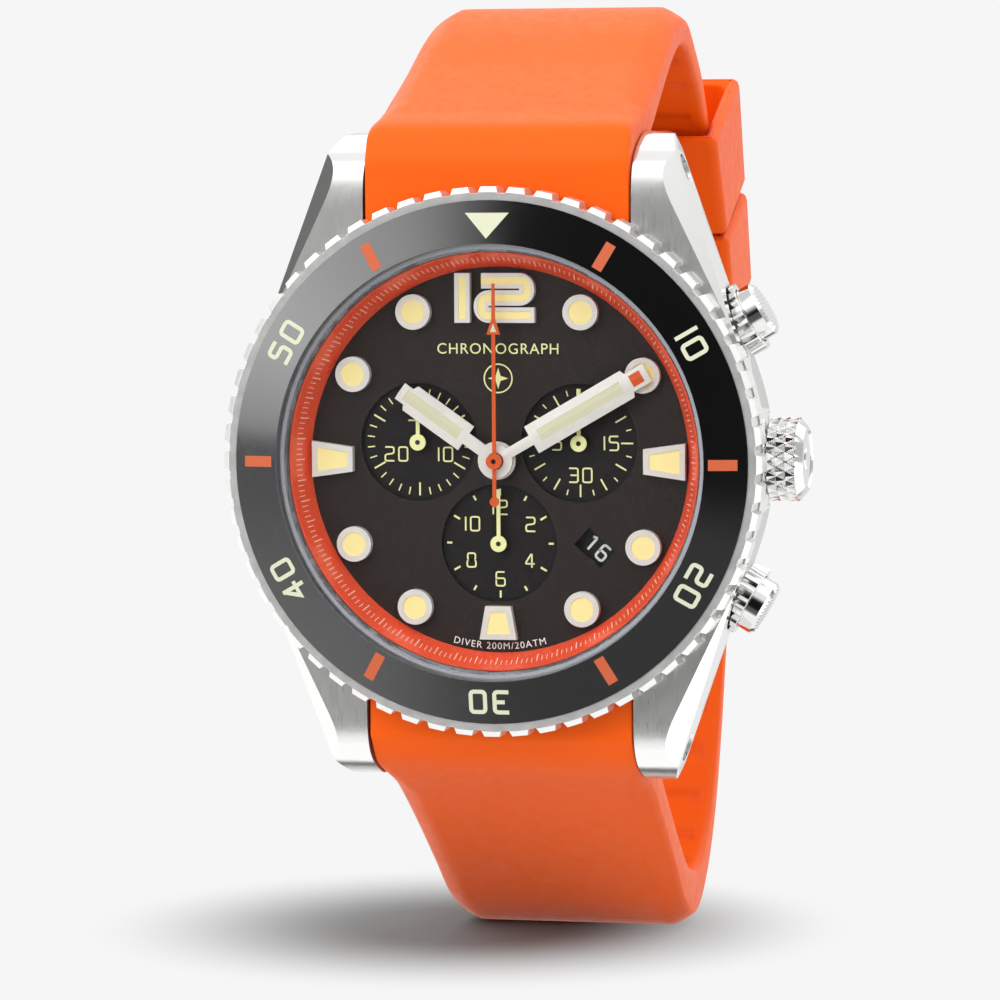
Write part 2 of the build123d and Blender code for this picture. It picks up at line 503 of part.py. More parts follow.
# ---------------------------------------------------------------- strap, keepers and buckle
def strap_layer(route, lug_side):
    """Side view of a strap half from its outer surface and thickness. lug_side is +1 at 12, -1 at 6."""
    outer = [(y, z) for y, z, _ in route]
    inner = []
    for i, (y, z, thick) in enumerate(route):
        before, after = route[max(i - 1, 0)], route[min(i + 1, len(route) - 1)]
        dy, dz = after[0] - before[0], after[1] - before[1]
        length = hypot(dy, dz)
        inner.append((y + lug_side * thick * dz / length, z - lug_side * thick * dy / length))
    root, front_z = lug_side * 15.0, outer[0][1]
    start = inner[1]
    edges = [Line((root, front_z), outer[0]), Spline(*outer), Line(outer[-1], inner[-1]),
             Spline(*inner[1:]), Line(start, (root, 2.6)), Line((root, 2.6), (root, front_z))]
    return make_face(edges)


def strap_width():
    """The strap from the front and from behind: it narrows towards the buckle."""
    outline = [(STRAP_HALF, 12), (STRAP_HALF, 2), (STRAP_HALF_BACK, STRAP_BACK_Z), (STRAP_HALF_BACK, -50)]
    outline += [(-x, z) for x, z in reversed(outline)]
    face = make_face(Polyline(*outline, close=True))
    return Plane.XZ * Pos(0, 0, -60) * extrude(face, 120)


def make_strap():
    width = strap_width()
    upper = across(strap_layer(UPPER_STRAP, 1), 12) & width
    upper -= rod(LUG_ROOT_R + 0.1, -5, 12) + along_x(rod(BAR_R, -20, 20), BAR_Y, BAR_Z)
    upper -= along_x(rod(0.85, -20, 20), PIVOT_Y, PIVOT_Z)
    upper -= block(-1.9, 1.9, -5, PIVOT_Y + 2.4, -50, -36)
    save("strap_upper", upper)
    lower = across(strap_layer(LOWER_STRAP, -1), 12) & width
    lower -= rod(LUG_ROOT_R + 0.1, -5, 12) + along_x(rod(BAR_R, -20, 20), -BAR_Y, BAR_Z)
    for i in range(TAIL_HOLES):
        y = PIVOT_Y + 0.9 + (i - 3) * HOLE_PITCH
        lower -= raised(Pos(0, y) * SlotOverall(4.6, 2.5, rotation=90), -50, -30)
    save("strap_lower", lower)


def beyond(start, end, distance):
    """The point past end by a distance, on the line from start."""
    dy, dz = end[0] - start[0], end[1] - start[1]
    length = hypot(dy, dz)
    return (end[0] + distance * dy / length, end[1] + distance * dz / length)


def keeper(corners):
    """A loop round both layers of strap, whose hollow runs right through from end to end."""
    outer_top, outer_bottom, inner_bottom, inner_top = corners
    loop = across(make_face(Polyline(*corners, close=True)), KEEPER_HALF)
    top_out, top_in = beyond(inner_top, outer_top, -KEEPER_WALL), beyond(outer_top, inner_top, -KEEPER_WALL)
    low_out = beyond(inner_bottom, outer_bottom, -KEEPER_WALL)
    low_in = beyond(outer_bottom, inner_bottom, -KEEPER_WALL)
    hollow = [beyond(low_out, top_out, 4), beyond(top_out, low_out, 4), beyond(top_in, low_in, 4),
              beyond(low_in, top_in, 4)]
    return loop - across(make_face(Polyline(*hollow, close=True)), KEEPER_HALF - KEEPER_WALL)


def buckle_frame():
    reach = (END_BAR_Y - PIVOT_Y, END_BAR_Z - PIVOT_Z)
    length = hypot(*reach)
    ny, nz = -reach[1] / length, reach[0] / length
    side = [(PIVOT_Y + 1.6 * ny, PIVOT_Z + 1.6 * nz), (PIVOT_Y - 1.6 * ny, PIVOT_Z - 1.6 * nz),
            (END_BAR_Y - 1.2 * ny, END_BAR_Z - 1.2 * nz), (END_BAR_Y + 1.2 * ny, END_BAR_Z + 1.2 * nz)]
    arm_view = make_face(Polyline(*side, close=True)) + Pos(PIVOT_Y, PIVOT_Z) * Circle(1.7)
    arm_view += Pos(END_BAR_Y, END_BAR_Z) * Circle(1.2)
    arms = across(arm_view, BUCKLE_INSIDE + ARM) - across(arm_view, BUCKLE_INSIDE)
    frame = arms + along_x(rod(1.2, -BUCKLE_INSIDE - ARM, BUCKLE_INSIDE + ARM), END_BAR_Y, END_BAR_Z)
    return frame - along_x(rod(0.5, -20, 20), PIVOT_Y, PIVOT_Z)


def tongue():
    """Side view: an eye on the spring bar, a leg through the strap and a straight run to the end bar."""
    rest_z = END_BAR_Z - 1.25
    leg = [(PIVOT_Y - 0.75, PIVOT_Z), (PIVOT_Y + 0.55, PIVOT_Z), (PIVOT_Y + 0.55, rest_z + 0.3),
           (PIVOT_Y + 0.1, rest_z - 0.6), (END_BAR_Y - 0.6, rest_z - 1.3), (END_BAR_Y - 1.6, rest_z - 0.6),
           (END_BAR_Y - 1.4, rest_z - 0.05), (PIVOT_Y - 1.6, rest_z + 0.35), (PIVOT_Y - 0.75, rest_z + 0.9)]
    shape = across(make_face(Polyline(*leg, close=True)), 0.9)
    shape += along_x(rod(1.55, -1.4, 1.4), PIVOT_Y, PIVOT_Z)
    return shape - along_x(rod(0.9, -5, 5), PIVOT_Y, PIVOT_Z)


def make_buckle():
    for name, corners in KEEPERS.items():
        save(name, keeper(corners))
    save("buckle_frame", buckle_frame())
    ends = BUCKLE_INSIDE + ARM - 0.3
    save("buckle_spring_bar", along_x(rod(0.85, -BUCKLE_INSIDE + 0.05, BUCKLE_INSIDE - 0.05)
                                      + rod(0.5, -ends, ends), PIVOT_Y, PIVOT_Z))
    save("buckle_tongue", tongue())


os.makedirs("parts", exist_ok=True)
make_case()
make_bezel()
make_dial()
make_minute_and_hour()
make_counters()
make_movement()
make_crown()
make_pushers()
make_strap()
make_buckle()
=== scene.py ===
import bpy, bmesh, json, math
from mathutils import Matrix, Vector


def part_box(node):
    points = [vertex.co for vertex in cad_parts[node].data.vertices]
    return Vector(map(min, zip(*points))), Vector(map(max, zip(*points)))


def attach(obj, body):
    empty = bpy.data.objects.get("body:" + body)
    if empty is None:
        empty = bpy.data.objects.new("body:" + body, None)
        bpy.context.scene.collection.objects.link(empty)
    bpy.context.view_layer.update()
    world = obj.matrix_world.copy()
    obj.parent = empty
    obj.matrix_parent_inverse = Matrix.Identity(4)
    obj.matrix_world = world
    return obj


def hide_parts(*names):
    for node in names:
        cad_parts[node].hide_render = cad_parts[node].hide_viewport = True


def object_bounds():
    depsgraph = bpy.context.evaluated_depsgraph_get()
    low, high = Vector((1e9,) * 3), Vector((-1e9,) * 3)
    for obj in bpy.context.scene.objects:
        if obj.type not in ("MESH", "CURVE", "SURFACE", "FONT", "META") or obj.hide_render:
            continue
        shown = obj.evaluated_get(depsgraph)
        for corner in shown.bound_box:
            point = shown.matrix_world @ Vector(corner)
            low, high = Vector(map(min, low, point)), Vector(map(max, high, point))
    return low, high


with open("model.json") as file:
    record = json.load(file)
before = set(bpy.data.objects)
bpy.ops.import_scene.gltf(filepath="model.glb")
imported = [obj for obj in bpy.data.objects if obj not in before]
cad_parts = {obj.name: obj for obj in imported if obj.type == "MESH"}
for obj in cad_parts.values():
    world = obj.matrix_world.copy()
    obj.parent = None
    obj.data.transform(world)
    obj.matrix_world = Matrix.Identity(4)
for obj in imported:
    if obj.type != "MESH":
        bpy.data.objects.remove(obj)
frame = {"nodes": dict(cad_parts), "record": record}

# Everything is drawn in millimetres in a watchmaker's frame, x to 3 o'clock, y to 12 o'clock and z out of
# the dial with z = 0 on the case back, and to_frame() turns that into the CAD frame in metres.
MM = 0.001
cad_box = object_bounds()
nodes = frame["nodes"]


# ---------------------------------------------------------------- sizes read from the frame
def head_box(node):
    """A CAD node's box in the watchmaker's frame, in mm."""
    lo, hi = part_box(node)
    return (Vector((lo.x, lo.z, -hi.y)) / MM, Vector((hi.x, hi.z, -lo.y)) / MM)


DIAL_TOP = head_box("dial")[1].z
SUBDIAL_TOP = head_box("dial_lower_plate")[1].z
DATE_TOP = head_box("date_ring")[1].z
FLANGE_LOW, FLANGE_HIGH = head_box("flange_ring")[0].z, head_box("flange_ring")[1].z
CROWN_LOW, CROWN_HIGH = head_box("crown")


# ---------------------------------------------------------------- mesh helpers
MITRE_LIMIT = 0.5        # smallest cosine used at a corner, so that sharp corners don't grow spikes
CORNER_SHARE = 0.45      # largest part of a side that a rounded corner may take


def to_frame(x, y, z):
    return Vector((x, -z, y)) * MM


def add_object(name, mesh, body, material, smooth=None):
    piece = bpy.data.objects.new(name, mesh)
    bpy.context.scene.collection.objects.link(piece)
    mesh.materials.append(material)
    if smooth is not None:
        mesh.shade_smooth()
        mesh.set_sharp_from_angle(angle=math.radians(smooth))
    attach(piece, body)
    return piece


def mesh_from(name, verts, faces):
    """A mesh from points in the watchmaker's frame, with its faces turned outwards."""
    mesh = bpy.data.meshes.new(name)
    mesh.from_pydata([to_frame(*v) for v in verts], [], faces)
    bm = bmesh.new()
    bm.from_mesh(mesh)
    bmesh.ops.recalc_face_normals(bm, faces=bm.faces)
    if bm.calc_volume(signed=True) < 0:
        bmesh.ops.reverse_faces(bm, faces=bm.faces)
    bm.to_mesh(mesh)
    bm.free()
    return mesh


def spun(point, clock, centre=(0, 0)):
    """A 2D point turned clockwise about the origin, then moved to a centre."""
    a = math.radians(clock)
    x, y = point
    return (centre[0] + x * math.cos(a) + y * math.sin(a), centre[1] - x * math.sin(a) + y * math.cos(a))


def rounded(points, radius, closed=False, steps=4):
    """A polyline with its corners replaced by short arcs."""
    result, count = [], len(points)
    for i, corner in enumerate(points):
        if not closed and i in (0, count - 1):
            result.append(corner)
            continue
        p = Vector(corner)
        before, after = Vector(points[i - 1]) - p, Vector(points[(i + 1) % count]) - p
        reach = min(radius, before.length * CORNER_SHARE, after.length * CORNER_SHARE)
        a, b = p + before.normalized() * reach, p + after.normalized() * reach
        for k in range(steps + 1):
            t = k / steps
            q = a * (1 - t) ** 2 + p * 2 * t * (1 - t) + b * t ** 2
            result.append((q.x, q.y))
    return result


def ribbon(points, width, closed=False):
    """The left and right edges of a line of a given width, with corners mitred up to MITRE_LIMIT."""
    left, right, count = [], [], len(points)
    for i, point in enumerate(points):
        p = Vector(point)
        ahead = Vector(points[(i + 1) % count]) - p if closed or i < count - 1 else None
        behind = p - Vector(points[i - 1]) if closed or i > 0 else None
        ahead = (ahead or behind).normalized()
        behind = (behind or ahead).normalized()
        along = (ahead + behind).normalized()
        side = Vector((-along.y, along.x)) * (width / 2 / max(along.dot(ahead), MITRE_LIMIT))
        left.append(tuple(p + side))
        right.append(tuple(p - side))
    return left, right


class Prints:
    """Collects thin raised shapes, such as ticks and numerals, into one mesh."""

    def __init__(self, low, high):
        self.low, self.high, self.verts, self.faces = low, high, [], []

    def outline(self, points):
        """A convex outline."""
        start, n = len(self.verts), len(points)
        self.verts += [(x, y, self.low) for x, y in points] + [(x, y, self.high) for x, y in points]
        self.faces.append(list(range(start, start + n)))
        self.faces.append(list(range(start + n, start + 2 * n)))
        for i in range(n):
            j = (i + 1) % n
            self.faces.append([start + i, start + j, start + n + j, start + n + i])

    def line(self, points, width, closed=False):
        left, right = ribbon(points, width, closed)
        start, n = len(self.verts), len(points)
        for z in (self.low, self.high):
            self.verts += [(x, y, z) for x, y in left] + [(x, y, z) for x, y in right]
        low_l, low_r, high_l, high_r = (start + k * n for k in range(4))
        for i in range(n if closed else n - 1):
            j = (i + 1) % n
            self.faces += [[low_l + i, low_l + j, low_r + j, low_r + i],
                           [high_l + i, high_l + j, high_r + j, high_r + i],
                           [low_l + i, low_l + j, high_l + j, high_l + i],
                           [low_r + i, low_r + j, high_r + j, high_r + i]]
        if not closed:
            for i in (0, n - 1):
                self.faces.append([low_l + i, low_r + i, high_r + i, high_l + i])

    def disc(self, centre, r, sides=48):
        self.outline([spun((0, r), 360 * i / sides, centre) for i in range(sides)])

    def tick(self, centre, clock, r_in, r_out, width):
        half = width / 2
        corners = ((-half, r_in), (half, r_in), (half, r_out), (-half, r_out))
        self.outline([spun(p, clock, centre) for p in corners])

    def numeral(self, text, centre, width, height, stroke, gap):
        """Square numerals in a row, centred."""
        wide = [0 if c == "1" else width for c in text]
        left = -(sum(wide) + gap * (len(text) - 1)) / 2
        for char, w in zip(text, wide):
            for points, closed in DIGITS[char]:
                placed = [(centre[0] + left + x * w, centre[1] + (y - 0.5) * height) for x, y in points]
                self.line(rounded(placed, height * NUMERAL_CORNER, closed), stroke, closed)
            left += w + gap

    def add_to(self, name, body, material):
        return add_object(name, mesh_from(name, self.verts, self.faces), body, material)


NUMERAL_CORNER = 0.16    # corner radius of a numeral, as a part of its height
BOX = [(0, 0), (1, 0), (1, 1), (0, 1)]
# Centre lines of each digit in a unit square, and whether each line is closed.
DIGITS = {
    "0": [(BOX, True)],
    "1": [([(0.5, 0), (0.5, 1)], False)],
    "2": [([(0, 1), (1, 1), (1, 0.54), (0, 0.46), (0, 0), (1.05, 0)], False)],
    "3": [([(0, 1), (1, 1), (1, 0), (0, 0)], False), ([(0.15, 0.5), (1, 0.5)], False)],
    "4": [([(0.72, 1), (0, 0.28), (1.1, 0.28)], False), ([(0.78, 0), (0.78, 1)], False)],
    "5": [([(1, 1), (0, 1), (0, 0.56), (1, 0.56), (1, 0), (0, 0)], False)],
    "6": [([(0, 0), (1, 0), (1, 0.55), (0, 0.55)], True), ([(0, 0.4), (0, 1), (0.95, 1)], False)],
    "7": [([(0, 1), (1, 1), (0.35, 0)], False)],
    "8": [([(0, 0), (1, 0), (1, 0.5), (0, 0.5)], True),
          ([(0.06, 0.5), (0.94, 0.5), (0.94, 1), (0.06, 1)], True)],
    "9": [([(0, 0.45), (1, 0.45), (1, 1), (0, 1)], True), ([(1, 0.6), (1, 0), (0.05, 0)], False)],
    "hooked 1": [([(0.1, 0.86), (0.55, 1), (0.55, 0)], False)],
}


# ---------------------------------------------------------------- materials
def srgb(r, g, b):
    """A colour given as it looks on screen, 0 to 255."""
    linear = [((c / 255 + 0.055) / 1.055) ** 2.4 if c > 10 else c / 255 / 12.92 for c in (r, g, b)]
    return (*linear, 1.0)


def new_material(name, colour, roughness, metallic=0.0, **sockets):
    """A Principled material. Extra sockets are constants, named with underscores."""
    material = bpy.data.materials.new(name)
    material.use_nodes = True
    shader = material.node_tree.nodes["Principled BSDF"]
    shader.inputs["Base Color"].default_value = colour
    shader.inputs["Roughness"].default_value = roughness
    shader.inputs["Metallic"].default_value = metallic
    for key, value in sockets.items():
        shader.inputs[key.replace("_", " ")].default_value = value
    material.diffuse_color = colour
    return material


def noise(material, size_mm, stretch=(1, 1, 1), detail=3.0, seed=(0, 0, 0)):
    """The value socket of a noise pattern fixed to the object, with features of about the given size."""
    tree = material.node_tree
    coords = tree.nodes.new("ShaderNodeTexCoord")
    mapping = tree.nodes.new("ShaderNodeMapping")
    mapping.inputs["Scale"].default_value = [1 / (size_mm * MM * s) for s in stretch]
    mapping.inputs["Location"].default_value = seed
    texture = tree.nodes.new("ShaderNodeTexNoise")
    texture.inputs["Scale"].default_value = 1.0
    texture.inputs["Detail"].default_value = detail
    tree.links.new(coords.outputs["Object"], mapping.inputs["Vector"])
    tree.links.new(mapping.outputs["Vector"], texture.inputs["Vector"])
    return texture.outputs["Fac"]


def ranged(material, value, low, high, from_low=0.3, from_high=0.7):
    node = material.node_tree.nodes.new("ShaderNodeMapRange")
    node.inputs["From Min"].default_value, node.inputs["From Max"].default_value = from_low, from_high
    node.inputs["To Min"].default_value, node.inputs["To Max"].default_value = low, high
    material.node_tree.links.new(value, node.inputs["Value"])
    return node.outputs["Result"]


def vary_colour(material, value, first, second):
    tree = material.node_tree
    mix = tree.nodes.new("ShaderNodeMix")
    mix.data_type = "RGBA"
    mix.inputs["A"].default_value, mix.inputs["B"].default_value = first, second
    tree.links.new(ranged(material, value, 0, 1), mix.inputs["Factor"])
    tree.links.new(mix.outputs["Result"], tree.nodes["Principled BSDF"].inputs["Base Color"])


def vary_roughness(material, value, low, high):
    tree = material.node_tree
    tree.links.new(ranged(material, value, low, high), tree.nodes["Principled BSDF"].inputs["Roughness"])


def bump(material, value, height_mm):
    tree = material.node_tree
    node = tree.nodes.new("ShaderNodeBump")
    node.inputs["Strength"].default_value = 1.0
    node.inputs["Distance"].default_value = height_mm * MM
    tree.links.new(value, node.inputs["Height"])
    tree.links.new(node.outputs["Normal"], tree.nodes["Principled BSDF"].inputs["Normal"])


def scaled(colour, factor):
    return tuple(min(c * factor, 1) for c in colour[:3]) + (1.0,)


SMUDGE_SCALE, SMUDGE_SPREAD = 8, 0.15    # size of the gloss pattern in grains, and its strength


def grained(name, colour, roughness, metallic, grain_mm, spread, height_mm, **sockets):
    """A material with a fine even grain in its colour, gloss and surface."""
    material = new_material(name, colour, roughness, metallic, **sockets)
    value = noise(material, grain_mm)
    vary_colour(material, value, scaled(colour, 1 - spread), scaled(colour, 1 + spread))
    smudges = noise(material, grain_mm * SMUDGE_SCALE, seed=(3, 1, 2))
    vary_roughness(material, smudges, roughness * (1 - SMUDGE_SPREAD), roughness * (1 + SMUDGE_SPREAD))
    bump(material, value, height_mm)
    return material


# Brushed steel: how squarely a face must look to the front or back to be brushed (none to full), the
# hairs' width, length in widths and depth, and the roughness of polished and of brushed faces.
BRUSH_FROM, BRUSH_TO = 0.86, 0.93
HAIR_MM, HAIR_STRETCH, HAIR_DEPTH_MM = 0.05, 45, 0.006
POLISH_ROUGHNESS, HAIR_ROUGHNESS = 0.13, (0.27, 0.42)


def brushed_steel(name):
    """Steel brushed lengthwise on the faces that look out of the dial or the back, polished elsewhere."""
    material = new_material(name, srgb(226, 226, 224), 0.2, 0.95)
    tree = material.node_tree
    geometry = tree.nodes.new("ShaderNodeNewGeometry")
    axes = tree.nodes.new("ShaderNodeSeparateXYZ")
    tree.links.new(geometry.outputs["True Normal"], axes.inputs["Vector"])
    facing = tree.nodes.new("ShaderNodeMath")
    facing.operation = "ABSOLUTE"
    tree.links.new(axes.outputs["Y"], facing.inputs[0])
    flat = ranged(material, facing.outputs["Value"], 0, 1, BRUSH_FROM, BRUSH_TO)
    hair = noise(material, HAIR_MM, (1, 1, HAIR_STRETCH), 2.0)
    rough = tree.nodes.new("ShaderNodeMix")
    rough.inputs["A"].default_value = POLISH_ROUGHNESS
    tree.links.new(flat, rough.inputs["Factor"])
    tree.links.new(ranged(material, hair, *HAIR_ROUGHNESS), rough.inputs["B"])
    tree.links.new(rough.outputs["Result"], tree.nodes["Principled BSDF"].inputs["Roughness"])
    depth = tree.nodes.new("ShaderNodeMath")
    depth.operation = "MULTIPLY"
    tree.links.new(hair, depth.inputs[0])
    tree.links.new(flat, depth.inputs[1])
    bump(material, depth.outputs["Value"], HAIR_DEPTH_MM)
    return material


# Each material's colour, roughness, metallic, grain size in mm, colour spread and grain height in mm.
rubber = grained("orange_rubber", srgb(230, 87, 4), 0.46, 0.0, 0.12, 0.04, 0.003,
                 Specular_IOR_Level=0.14, Sheen_Weight=0.06, Sheen_Roughness=0.35)
steel = brushed_steel("case_steel")
polished = grained("polished_steel", srgb(215, 215, 214), 0.1, 1.0, 0.6, 0.03, 0.0004)
bezel_steel = grained("bezel_steel", srgb(224, 223, 221), 0.34, 0.8, 0.1, 0.04, 0.002)
silver = grained("bright_silver", srgb(246, 243, 236), 0.4, 0.45, 0.1, 0.03, 0.001)
insert_black = grained("insert_black", srgb(9, 9, 10), 0.1, 0.0, 0.05, 0.25, 0.0002, IOR=3.0)
dial_black = grained("dial_black", srgb(44, 37, 33), 0.38, 0.3, 0.07, 0.6, 0.03)
subdial_black = grained("subdial_black", srgb(27, 24, 23), 0.45, 0.2, 0.06, 0.25, 0.004)
flange_paint = grained("flange_orange", srgb(232, 82, 48), 0.3, 0.0, 0.1, 0.04, 0.001, IOR=1.6)
orange_paint = grained("orange_paint", srgb(208, 84, 26), 0.35, 0.0, 0.08, 0.06, 0.001)
bar_paint = grained("bar_orange", srgb(184, 84, 44), 0.5, 0.0, 0.08, 0.06, 0.001)
lume = grained("dial_lume", srgb(246, 230, 158), 0.6, 0.0, 0.06, 0.03, 0.004)
bezel_lume = grained("bezel_lume", srgb(196, 198, 172), 0.6, 0.0, 0.06, 0.03, 0.004)
# The hands' lume: a pale lume colour made greyer and darker than the dial's lume, as painted shade.
hand_lume = grained("hand_lume", srgb(205, 202, 172), 0.6, 0.0, 0.06, 0.04, 0.004)
white_print = grained("white_print", srgb(235, 234, 230), 0.5, 0.0, 0.1, 0.02, 0.001)
yellow_print = grained("yellow_print", srgb(232, 232, 165), 0.5, 0.0, 0.1, 0.02, 0.001)
tick_print = grained("tick_print", srgb(240, 190, 170), 0.5, 0.0, 0.1, 0.02, 0.001)
black_rubber = grained("black_rubber", srgb(22, 22, 22), 0.6, 0.0, 0.1, 0.2, 0.003)
# Pale grey-blue on the crystal's seal: a painted highlight for the bright bevelled edge of the crystal round
# the dial.
crystal_edge_glint = grained("crystal_seal_glint", srgb(165, 168, 176), 0.25, 0.0, 0.2, 0.03, 0.001)
brass = grained("gilt_brass", srgb(205, 172, 105), 0.3, 1.0, 0.1, 0.06, 0.002)
board = grained("board_green", srgb(20, 92, 58), 0.35, 0.0, 0.3, 0.2, 0.002)
plastic = grained("white_plastic", srgb(214, 214, 208), 0.5, 0.0, 0.2, 0.04, 0.003)
copper = grained("coil_copper", srgb(190, 105, 62), 0.3, 1.0, 0.08, 0.15, 0.01)
glass = grained("sapphire", srgb(30, 32, 36), 0.03, 0.0, 5.0, 0.05, 0.0, IOR=1.77, Alpha=0.06)
# Black of the date disc, also used for the painted shade in the chronograph hub's hole.
date_and_hole_black = grained("date_and_hole_black", srgb(28, 27, 27), 0.5, 0.0, 0.06, 0.2, 0.003)

SLOT_MATERIALS = {
    "steel_satin": steel, "steel_polished": polished, "rubber_orange": rubber, "insert_black": insert_black,
    "lume_light": lume, "paint_orange": orange_paint, "crystal_glass": glass, "seal_rubber": black_rubber,
    "flange_orange": flange_paint, "dial_black": dial_black, "dial_dark": subdial_black,
    "hand_silver": silver, "movement_brass": brass, "movement_plastic": plastic,
    "board_green": board, "battery_steel": polished, "coil_copper": copper, "date_white": date_and_hole_black,
    "spring_steel": polished,
}
NODE_MATERIALS = {
    "bezel_ring": bezel_steel, "bezel_bars": bar_paint, "bezel_numerals": bezel_lume,
    "hour_hand_lume": hand_lume, "minute_hand_lume": hand_lume,
    "small_seconds_hand": yellow_print, "minute_counter_hand": yellow_print,
    "hour_counter_hand": yellow_print, "crystal_gasket": crystal_edge_glint,
}
EDGE_ANGLE = 32          # degrees, above which an edge is rounded
WELD_MM = 0.002
# Width in mm of the rounding along each piece's edges.
EDGE = {
    "case_middle": 0.16, "bezel_ring": 0.1, "hour_markers": 0.11, "minute_hand": 0.03, "hour_hand": 0.03,
    "chronograph_hand": 0.04, "keeper_upper": 0.7, "keeper_lower": 0.7, "buckle_frame": 0.3,
    "buckle_tongue": 0.25, "start_pusher": 0.1, "reset_pusher": 0.1, "start_collar": 0.12,
    "reset_collar": 0.12, "case_back": 0.1, "dial": 0.04, "case_back_screws": 0.06, "strap_bar_screws": 0.06,
}


def dress_cad_nodes():
    """Gives every CAD node its material, and rounds the edges of those that show."""
    slots = {s["node"]: s["material_slot"] for s in frame["record"]["subparts"]}
    for name, piece in nodes.items():
        piece.data.materials.clear()
        piece.data.materials.append(NODE_MATERIALS.get(name) or SLOT_MATERIALS[slots[name]])
        if name not in EDGE:
            continue
        custom = piece.data.attributes.get("custom_normal")
        if custom:
            piece.data.attributes.remove(custom)
        piece.data.shade_smooth()
        weld = piece.modifiers.new("weld", "WELD")
        weld.merge_threshold = WELD_MM * MM
        edge = piece.modifiers.new("edge", "BEVEL")
        edge.width, edge.segments, edge.limit_method = EDGE[name] * MM, 3, "ANGLE"
        edge.angle_limit, edge.harden_normals = math.radians(EDGE_ANGLE), True


# ---------------------------------------------------------------- strap
STRAP_HALF, STRAP_HALF_BACK, STRAP_BACK_Z, STRAP_FRONT_Z = 10.9, 9.6, -40.0, 2.0
CASE_WALL_R, LUG_ROOT_Y, LUG_INNER_Z = 20.45, 17.0, 2.6
# Outer surface of each half in its side view, from the lug backwards, as (y, z, thickness).
UPPER_STRAP = [(24.3, 10.2, 8.0), (26.7, 8.9, 5.6), (28.3, 5.2, 4.3), (31.6, -2.3, 3.5), (34.9, -9.0, 3.3),
               (36.6, -14.2, 3.3), (36.5, -18.9, 3.3), (34.4, -23.3, 3.2), (30.8, -28.6, 3.0),
               (24.8, -33.5, 2.9), (17.0, -37.3, 2.8), (10.0, -39.4, 2.8), (4.0, -40.5, 3.1),
               (-0.9, -40.8, 3.4)]
LOWER_STRAP = [(-22.6, 10.0, 7.8), (-25.2, 7.6, 5.6), (-28.6, 1.4, 4.3), (-32.5, -4.4, 3.8),
               (-36.8, -10.2, 3.9), (-40.4, -15.0, 4.4), (-42.3, -19.6, 4.9), (-42.1, -24.2, 4.5),
               (-39.6, -29.2, 3.9), (-35.2, -33.8, 3.4), (-29.0, -37.6, 3.0), (-21.0, -40.9, 2.8),
               (-11.0, -42.9, 2.6), (0.0, -43.7, 2.5), (9.0, -43.6, 2.5), (16.0, -42.2, 2.5),
               (22.4, -39.8, 2.4), (28.0, -37.6, 2.2)]
GROOVE_PITCH, GROOVE_WIDTH, GROOVE_DEPTH = 5.0, 0.9, 0.35
GROOVE_FLANK = 0.25      # width over which a groove's side slopes
GROOVES_FROM, GROOVES_UNTIL = 16, 6      # plain length at the lug, and at the strap's end
BEVEL_FROM, BEVEL_OVER = 9, 7            # where the front's side bevels start to widen, and over what length
TIP_LENGTH, TIP_POWER, TIP_HALF = 9, 3.2, 1.2    # rounded end of the tail
INNER_LEAD = 0.8         # share of the way from the lug's root to its second point where the inner face bends
PIVOT, BAR_HOLE_R = (1.2, -39.0), 0.85   # buckle's spring bar in the side view
TONGUE_NOTCH = [(-1.9, -5), (1.9, -5), (1.9, 3.6), (-1.9, 3.6)]
TAIL_MIDDLE, TAIL_PITCH, TAIL_SLOTS = 2.1, 6.5, 7
SLOT_HALF_X, SLOT_HALF_Y = 1.25, 2.3
STATION = 0.4            # spacing of the strap's cross-sections
CURVE_STEPS, LUG_STEPS = 40, 20          # samples between two points of the route, and within the lugs
STRAP_SMOOTH = 50        # degrees, above which an edge of the strap stays sharp


def catmull(points, steps):
    """A smooth curve through 2D points, sampled."""
    ends = [2 * points[0] - points[1], *points, 2 * points[-1] - points[-2]]
    result = []
    for i in range(1, len(ends) - 2):
        a, b, c, d = ends[i - 1:i + 3]
        for k in range(steps):
            t = k / steps
            result.append(0.5 * (2 * b + (c - a) * t + (2 * a - 5 * b + 4 * c - d) * t ** 2
                                 + (3 * b - a - 3 * c + d) * t ** 3))
    result.append(points[-1])
    return result


def strap_stations(route, side):
    """Pairs of outer and inner points along the strap, evenly spaced, as (outer, inner, length so far)."""
    outer = [Vector((y, z)) for y, z, _ in route]
    inner = []
    for i, (y, z, thick) in enumerate(route):
        ahead = outer[min(i + 1, len(outer) - 1)] - outer[max(i - 1, 0)]
        ahead.normalize()
        inner.append(Vector((y + side * thick * ahead.y, z - side * thick * ahead.x)))
    root_out, root_in = Vector((side * LUG_ROOT_Y, outer[0].y)), Vector((side * LUG_ROOT_Y, LUG_INNER_Z))
    inner[0] = root_in.lerp(inner[1], INNER_LEAD)
    fine_out, fine_in = catmull(outer, CURVE_STEPS), catmull(inner, CURVE_STEPS)
    lead_out = [root_out.lerp(outer[0], k / LUG_STEPS) for k in range(LUG_STEPS)]
    lead_in = [root_in.lerp(inner[0], k / LUG_STEPS) for k in range(LUG_STEPS)]
    fine_out, fine_in = lead_out + fine_out, lead_in + fine_in
    stations, walked, due = [], 0.0, 0.0
    for i, (o, n) in enumerate(zip(fine_out, fine_in)):
        walked += (o - fine_out[i - 1]).length if i else 0
        if walked >= due or i == len(fine_out) - 1:
            stations.append((o, n, walked))
            due = walked + STATION
    return stations


def strap_half_width(z):
    t = min(max((STRAP_FRONT_Z - z) / (STRAP_FRONT_Z - STRAP_BACK_Z), 0), 1)
    return STRAP_HALF + (STRAP_HALF_BACK - STRAP_HALF) * t


